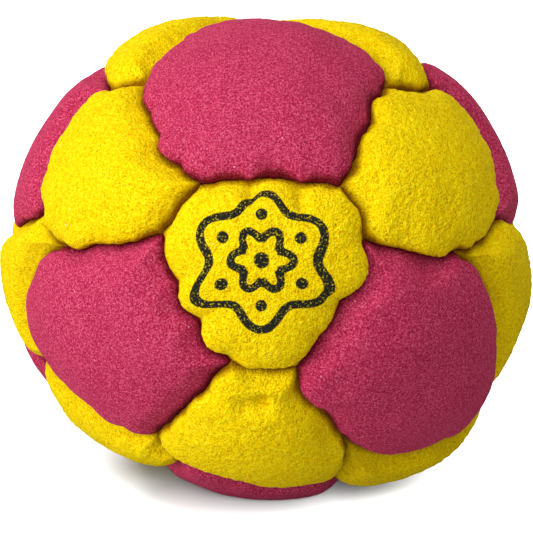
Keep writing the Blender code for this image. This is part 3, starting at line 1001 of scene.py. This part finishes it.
def printed(material, colour, place):
    """The colour with the mark's ink over it. The nap roughens the ink's edge and shows through it."""
    ink = add_node(material, "Attribute", attribute_name="ink")
    grain = add_node(material, "TexNoise", {"Vector": place, "Scale": 1 / INK_GRAIN, "Detail": 3.0})
    edge = add_node(material, "MixRGB", {"Fac": INK_EDGE_SHARE, "Color1": ink.outputs["Fac"],
                                         "Color2": grain.outputs["Fac"]})
    cover = add_node(material, "ValToRGB", {"Fac": edge.outputs["Color"]}, stops=INK_EDGE_STOPS)
    thin = add_node(material, "ValToRGB", {"Fac": grain.outputs["Fac"]}, stops=INK_WEAR_STOPS)
    share = add_node(material, "Math", {0: cover.outputs["Color"], 1: thin.outputs["Color"]},
                     operation="MULTIPLY")
    return add_node(material, "MixRGB", {"Fac": share.outputs["Value"], "Color1": colour,
                                         "Color2": linear(INK)}).outputs["Color"]


def make_suede(suede, with_ink=False):
    """The material of one cloth: tufts with painted shade and highlight, stray lint, painted shade by the
    seams and a soft sheen.
    """
    material = new_material(suede.name + ("_printed" if with_ink else ""))
    place = add_node(material, "TexCoord").outputs["Object"]
    tufts, fibres, patches = [
        add_node(material, "TexNoise", {"Vector": place, "Scale": 1 / size, "Detail": detail}).outputs["Fac"]
        for size, detail in ((suede.tuft, 2.0), (suede.fibre, 1.0), (PATCH_SIZE, 3.0))]
    height = add_node(material, "MixRGB", {"Fac": TUFT_SHARE, "Color1": fibres,
                                           "Color2": tufts}).outputs["Color"]
    tone = add_node(material, "MixRGB", {"Fac": PATCH_SHARE, "Color1": height, "Color2": patches})
    # Painted shade and highlight: the tufts' colour is darker where their bump is low and paler where it is
    # high
    shade = add_node(material, "ValToRGB", {"Fac": tone.outputs["Color"]}, stops=suede.shades)
    specks = add_node(material, "TexNoise", {"Vector": place, "Scale": 1 / LINT_SIZE, "Detail": 1.0,
                                             "Roughness": 0.3})
    stray = add_node(material, "ValToRGB", {"Fac": specks.outputs["Fac"]}, stops=LINT_STOPS)
    colour = add_node(material, "MixRGB", {"Fac": stray.outputs["Color"], "Color1": shade.outputs["Color"],
                                           "Color2": linear(suede.lint)}).outputs["Color"]
    if with_ink:
        colour = printed(material, colour, place)
    # Painted shade: the colour is darkened close to the seams, where the crease lies in shade
    distance = add_node(material, "Attribute", attribute_name="seam_distance")
    painted_crease_shade = add_node(material, "ValToRGB", {"Fac": distance.outputs["Fac"]}, stops=CREASE_SHADE_STOPS)
    colour = add_node(material, "MixRGB", {"Fac": 1.0, "Color1": colour, "Color2": painted_crease_shade.outputs["Color"]},
                      blend_type="MULTIPLY").outputs["Color"]
    bump = add_node(material, "Bump", {"Height": height, "Distance": suede.relief})
    shader = add_node(material, "BsdfPrincipled", {
        "Base Color": colour, "Roughness": 0.95, "Specular IOR Level": 0.05, "Sheen Weight": 0.10,
        "Sheen Roughness": 0.4, "Sheen Tint": linear(suede.sheen_tint), "Normal": bump.outputs["Normal"]})
    add_node(material, "OutputMaterial", {"Surface": shader.outputs["BSDF"]})
    return material


suede_materials = {cloth: make_suede(Suede(*values)) for cloth, values in SUEDES.items()}
for panel in PANELS:
    pieces[panel.name].data.materials.append(suede_materials[panel.cloth])
pieces[FRONT_PANEL].data.materials[0] = make_suede(Suede(*SUEDES["yellow"]), with_ink=True)
print("Suedes:", ", ".join(material.name for material in suede_materials.values()))

# %% Put every panel in its place on the frame
for panel in PANELS:
    piece = pieces[panel.name]
    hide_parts(panel.name)
    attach(piece, BODY)

# %% [markdown]
# ## The threads
#
# A strand of thread runs along every seam, under the turned-in edges that it joins. The last seam
# is at the back. It is sewn by hand from outside, once the sand is in, with a whip stitch: the
# thread goes over the crease, into the cloth and back under it, so it is a coil along the seam.
# Both are two-ply threads, so the section is a ring with two lobes that turn as they go.

# %% Sweep a thread along its path
THREAD_RADIUS = 0.19 * MM
PLY_SHARE = 0.16
PLY_PITCH = 1.1 * MM
THREAD_SIDES = 14


def sweep_thread(path, normals):
    """Points and faces of a tube whose radius is R (1 + s cos(2 (t - twist))), so two lobes wind along it."""
    steps = np.gradient(path, axis=0)
    along = np.concatenate(((0,), np.cumsum(np.linalg.norm(np.diff(path, axis=0), axis=1))))
    sides = unit(np.cross(normals, steps))
    ups = np.cross(unit(steps), sides)
    turn = np.linspace(0, 2 * math.pi, THREAD_SIDES, endpoint=False)[None]
    twist = 2 * math.pi * along[:, None] / (2 * PLY_PITCH)
    radius = THREAD_RADIUS * (1 + PLY_SHARE * np.cos(2 * (turn - twist)))
    rings = (path[:, None] + sides[:, None] * (radius * np.cos(turn))[..., None]
             + ups[:, None] * (radius * np.sin(turn))[..., None])
    numbers = np.arange(rings.shape[0] * THREAD_SIDES).reshape(-1, THREAD_SIDES)
    beside = np.roll(numbers, -1, axis=1)
    faces = np.stack((numbers[:-1], beside[:-1], beside[1:], numbers[1:]), axis=-1).reshape(-1, 4)
    return rings.reshape(-1, 3), [*faces.tolist(), numbers[0, ::-1].tolist(), numbers[-1].tolist()]


def make_thread(strands, name):
    """One mesh object from the paths of several strands, each with the cloth's normals along it."""
    points, faces = [], []
    for path, normals in strands:
        rings, sides = sweep_thread(path, normals)
        faces += [[len(points) + number for number in face] for face in sides]
        points += rings.tolist()
    print(name, "has", len(faces), "faces")
    return add_object(name, points, faces)


# %% Sew the inner seams
INNER_THREAD_DEPTH = 4.1 * MM
INNER_THREAD_STEPS = 40
INNER_THREAD_SHARES = (0.03, 0.97)


def inner_strands():
    """A strand under the turned-in edges of each seam, pushed aside with them by the sand."""
    shares = np.linspace(*INNER_THREAD_SHARES, INNER_THREAD_STEPS + 1)
    for ends in SEAMS:
        directions = seam_directions(*sorted(ends), shares)
        flat = layer(directions, np.full(len(shares), SEAM_DEPTH))[0]
        line, normals = layer(directions, np.full(len(shares), INNER_THREAD_DEPTH))
        yield line + wander(flat) * fade_at_floor(line), normals


seam_strands = make_thread(inner_strands(), "seam_strands")

# %% Sew the closing seam
CLOSED_SEAM = (("back_left", "back_right"), ("back_left", "back_bottom"))
CLOSING_SHARES = (0.10, 0.90)
STITCH_PITCH = 1.3 * MM
STITCH_REACH = 0.95 * MM
STITCH_RISE = 0.16 * MM
STITCH_DIP = 0.50 * MM
STITCH_STEPS = 40
PROBE_HEIGHT = 4.0 * MM


def cloth_surface(panels):
    """The faces of some panels as one tree, to find where a line meets the cloth."""
    points, faces = [], []
    for panel in panels:
        mesh = pieces[panel.name].data
        faces += [[len(points) + number for number in face.vertices] for face in mesh.polygons]
        points += [vertex.co for vertex in mesh.vertices]
    return BVHTree.FromPolygons(points, faces)


def closing_path():
    """The thread's path: a coil along the seam, over the cloth on one half turn and under it on the next.

    Its two feet are found on the cloth on each side, and it crosses from one to the other.
    """
    tree = cloth_surface([panel for panel in PANELS if set(CLOSED_SEAM) <= set(panel.corners)])
    seam = SEAMS[frozenset(CLOSED_SEAM)]
    stitches = round(seam.length * (CLOSING_SHARES[1] - CLOSING_SHARES[0]) / STITCH_PITCH)
    shares = np.linspace(*CLOSING_SHARES, stitches * STITCH_STEPS + 1)
    directions = seam_directions(*sorted(CLOSED_SEAM), shares)
    line, normals = layer(directions, np.full(len(shares), SEAM_DEPTH))
    line = line + wander(line)
    sides = unit(np.cross(normals, np.gradient(line, axis=0)))
    feet = []
    for side in (-1, 1):
        starts = line + sides * side * STITCH_REACH + normals * PROBE_HEIGHT
        hits = [tree.ray_cast(start, -normal)[0] for start, normal in zip(starts.tolist(), normals)]
        feet.append(np.array([hit[:] for hit in hits]))
    turn = np.linspace(0, 2 * math.pi * stitches, len(shares))
    across = (1 - np.cos(turn))[:, None] / 2
    rise = np.where(np.sin(turn) > 0, STITCH_RISE, STITCH_DIP) * np.sin(turn)
    return feet[0] * (1 - across) + feet[1] * across + normals * rise[:, None], normals


closing_stitches = make_thread([closing_path()], "closing_stitches")

# %% [markdown]
# ## The sand
#
# The sand lies against the inside of the cloth and follows its every fold. It is made like the
# panels, on a coarser grid: one closed surface, a little further in than the cloth's back, with a
# groove along each seam for the turned-in edges and the thread.

# %% Fill the bag
SAND_STEPS = 14
SAND_CLEARANCE = 0.2 * MM
SAND_GROOVE = 2.0 * MM
SAND_GROOVE_REACH = 1.6 * MM


def sand_surface(panel):
    """Directions, points and quads of the sand under one panel.

    The sand lies deeper than the cloth's back by a bell curve of the distance to the seam.
    """
    kites, _ = kite_directions(panel, SAND_STEPS)
    quads, _ = kite_faces(len(kites), SAND_STEPS)
    directions = kites.reshape(-1, 3)
    distance = shape_cloth(directions, panel, 0.0).distance
    groove = SAND_GROOVE * np.exp(-(distance / SAND_GROOVE_REACH) ** 2)
    return directions, shape_cloth(directions, panel, CLOTH_THICKNESS + SAND_CLEARANCE + groove).points, quads


def make_sand():
    """One closed mesh object from the surfaces under all the panels, welded along the seams."""
    directions, points, quads = zip(*[sand_surface(panel) for panel in PANELS])
    starts = np.cumsum([0] + [len(each) for each in points[:-1]])
    first, number = weld(np.concatenate(directions), np.concatenate(directions))
    points = np.concatenate(points)[first]
    points[:, 2] = np.maximum(points[:, 2], CLOTH_THICKNESS + SAND_CLEARANCE)
    faces = number[np.concatenate([each + start for each, start in zip(quads, starts)])]
    return add_object("sand", points.tolist(), faces.tolist())


sand = make_sand()
print("Sand:", len(sand.data.polygons), "faces")

# %% Give the threads and the sand their materials
FILAMENT_SIZE = 0.12 * MM
FILAMENT_RELIEF = 0.05 * MM
GRAIN_SIZE = 0.28 * MM
GRAIN_RELIEF = 0.12 * MM


def make_thread_material():
    """Waxed polyester thread: pale and a little glossy. Its filaments are drawn coarser than they are."""
    material = new_material("polyester_thread")
    place = add_node(material, "TexCoord").outputs["Object"]
    filaments = add_node(material, "TexNoise", {"Vector": place, "Scale": 1 / FILAMENT_SIZE, "Detail": 3.0})
    colour = add_node(material, "ValToRGB", {"Fac": filaments.outputs["Fac"]},
                      stops=((0.35, "B9AF98"), (0.50, "DDD4C0"), (0.65, "F3EEDF")))
    bump = add_node(material, "Bump", {"Height": filaments.outputs["Fac"], "Distance": FILAMENT_RELIEF})
    shader = add_node(material, "BsdfPrincipled", {"Base Color": colour.outputs["Color"], "Roughness": 0.55,
                                                   "Normal": bump.outputs["Normal"]})
    add_node(material, "OutputMaterial", {"Surface": shader.outputs["BSDF"]})
    return material


def make_sand_material():
    """Quartz sand: round grains of a quarter of a millimetre, each in its own shade of buff."""
    material = new_material("quartz_sand")
    place = add_node(material, "TexCoord").outputs["Object"]
    grains = add_node(material, "TexVoronoi", {"Vector": place, "Scale": 1 / GRAIN_SIZE})
    shade = add_node(material, "SeparateColor", {"Color": grains.outputs["Color"]})
    colour = add_node(material, "ValToRGB", {"Fac": shade.outputs["Red"]},
                      stops=((0.1, "8C7351"), (0.5, "C9B084"), (0.9, "EADFC4")))
    bump = add_node(material, "Bump", {"Height": grains.outputs["Distance"], "Distance": GRAIN_RELIEF},
                    invert=True)
    shader = add_node(material, "BsdfPrincipled", {"Base Color": colour.outputs["Color"], "Roughness": 0.8,
                                                   "Normal": bump.outputs["Normal"]})
    add_node(material, "OutputMaterial", {"Surface": shader.outputs["BSDF"]})
    return material


thread_material = make_thread_material()
INNER_PIECES = (
    (seam_strands, "seam_thread", "sewing_thread", thread_material),
    (closing_stitches, "closing_thread", "sewing_thread", thread_material),
    (sand, "sand_fill", "sand", make_sand_material()),
)
for piece, node, slot, material in INNER_PIECES:
    piece.data.materials.append(material)
    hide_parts(node)
    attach(piece, BODY)

# %% [markdown]
# ## The floor, the light and the background
#
# The bag stands on plain white. Soft lamps on the left, low on the left, in front and overhead
# light what the photograph shows, one behind the bag lights its back, and a faint sky fills in from
# all sides. Lamps in front and on both sides light the floor alone, so the shadow is dark where the
# bag rests and soon fades to white. To the camera and in reflections the floor gives a little light
# of its own and the sky is white, and to other light the floor is greyer, so that it lifts the bag's
# underside no more than it does in the photograph.

# %% Make the floor and the lights
FLOOR_SIZE = 6.0
# The way to each lamp, its level, and how wide it looks. Those named floor light the floor alone
LAMPS = {
    "key_softbox": ((-0.745, -0.521, 0.416), 0.37, math.radians(35.0)),
    "side_softbox": ((-0.930, -0.360, 0.050), 0.56, math.radians(35.0)),
    "front_softbox": ((0.040, -0.840, 0.541), 0.27, math.radians(35.0)),
    "low_softbox": ((-0.600, -0.790, 0.110), 0.22, math.radians(35.0)),
    "top_softbox": ((0.000, -0.200, 0.980), 0.48, math.radians(50.0)),
    "back_softbox": ((0.100, 0.970, 0.220), 0.35, math.radians(60.0)),
    "floor_front": ((0.180, -0.860, 0.478), 5.60, math.radians(40.0)),
    "floor_left": ((-0.550, -0.080, 0.831), 2.60, math.radians(26.0)),
    "floor_right": ((0.660, -0.100, 0.745), 1.90, math.radians(50.0)),
}
SKY_COLOUR = "FFFFFF"
SKY_STRENGTH = 0.02
FLOOR_COLOUR = "B0B0B0"
FLOOR_BOUNCE_COLOUR = "545454"
FLOOR_GLOW = "14181C"


def seen_plainly(owner):
    """One for the camera's rays and those of reflections and clear things, and zero for other light."""
    rays = add_node(owner, "LightPath").outputs
    sharp = add_node(owner, "Math", {0: rays["Is Glossy Ray"], 1: rays["Is Transmission Ray"]},
                     operation="ADD")
    seen = add_node(owner, "Math", {0: rays["Is Camera Ray"], 1: sharp.outputs["Value"]}, operation="ADD")
    return seen.outputs["Value"]


def make_floor():
    """A large square at height zero, which isn't part of the object."""
    half = FLOOR_SIZE / 2
    corners = [(-half, -half, 0), (half, -half, 0), (half, half, 0), (-half, half, 0)]
    floor = add_object("floor", corners, [(0, 1, 2, 3)])
    material = new_material("white_paper_floor")
    seen = seen_plainly(material)
    colour = add_node(material, "MixRGB", {"Fac": seen, "Color1": linear(FLOOR_BOUNCE_COLOUR),
                                           "Color2": linear(FLOOR_COLOUR)})
    diffuse = add_node(material, "BsdfDiffuse", {"Color": colour.outputs["Color"]})
    glow = add_node(material, "Emission", {"Color": linear(FLOOR_GLOW), "Strength": seen})
    both = add_node(material, "AddShader", {0: diffuse.outputs["BSDF"], 1: glow.outputs["Emission"]})
    add_node(material, "OutputMaterial", {"Surface": both.outputs["Shader"]})
    floor.data.materials.append(material)
    floor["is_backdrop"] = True
    return floor


def make_lamp(name, toward, level, angle):
    """A distant softbox in this direction. At level one it lights a white surface to full white."""
    lamp = bpy.data.lights.new(name, "SUN")
    lamp.angle = angle
    lamp.energy = level * math.pi
    holder = bpy.data.objects.new(name, lamp)
    holder.rotation_euler = mathutils.Vector(toward).to_track_quat("Z", "Y").to_euler()
    bpy.context.scene.collection.objects.link(holder)
    return holder


def flag(lamp, thing, link_state):
    """Let a lamp light everything but one thing, or that alone, as flags on stands do in a studio."""
    flagged = bpy.data.collections.new(lamp.name + "_flag")
    flagged.objects.link(thing)
    flagged.collection_objects[0].light_linking.link_state = link_state
    lamp.light_linking.receiver_collection = flagged


floor = make_floor()
for name, (toward, level, angle) in LAMPS.items():
    flag(make_lamp(name, toward, level, angle), floor, "INCLUDE" if name.startswith("floor") else "EXCLUDE")
world = bpy.data.worlds.new("sky")
bpy.context.scene.world = world
world.use_nodes = True
world.node_tree.nodes.clear()
strength = add_node(world, "Math", {0: seen_plainly(world), 1: SKY_STRENGTH}, operation="MAXIMUM")
background = add_node(world, "Background", {"Color": linear(SKY_COLOUR),
                                            "Strength": strength.outputs["Value"]})
add_node(world, "OutputWorld", {"Surface": background.outputs["Background"]})
bpy.context.scene.view_settings.view_transform = "Standard"

# %% Compare the sizes and finish
boxes = {"cad": [list(corner) for corner in CAD_BOX], "visual": [list(corner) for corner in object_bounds()]}
for name, (low, high) in boxes.items():
    print(name, "box in mm:", [round((b - a) / MM, 2) for a, b in zip(low, high)])
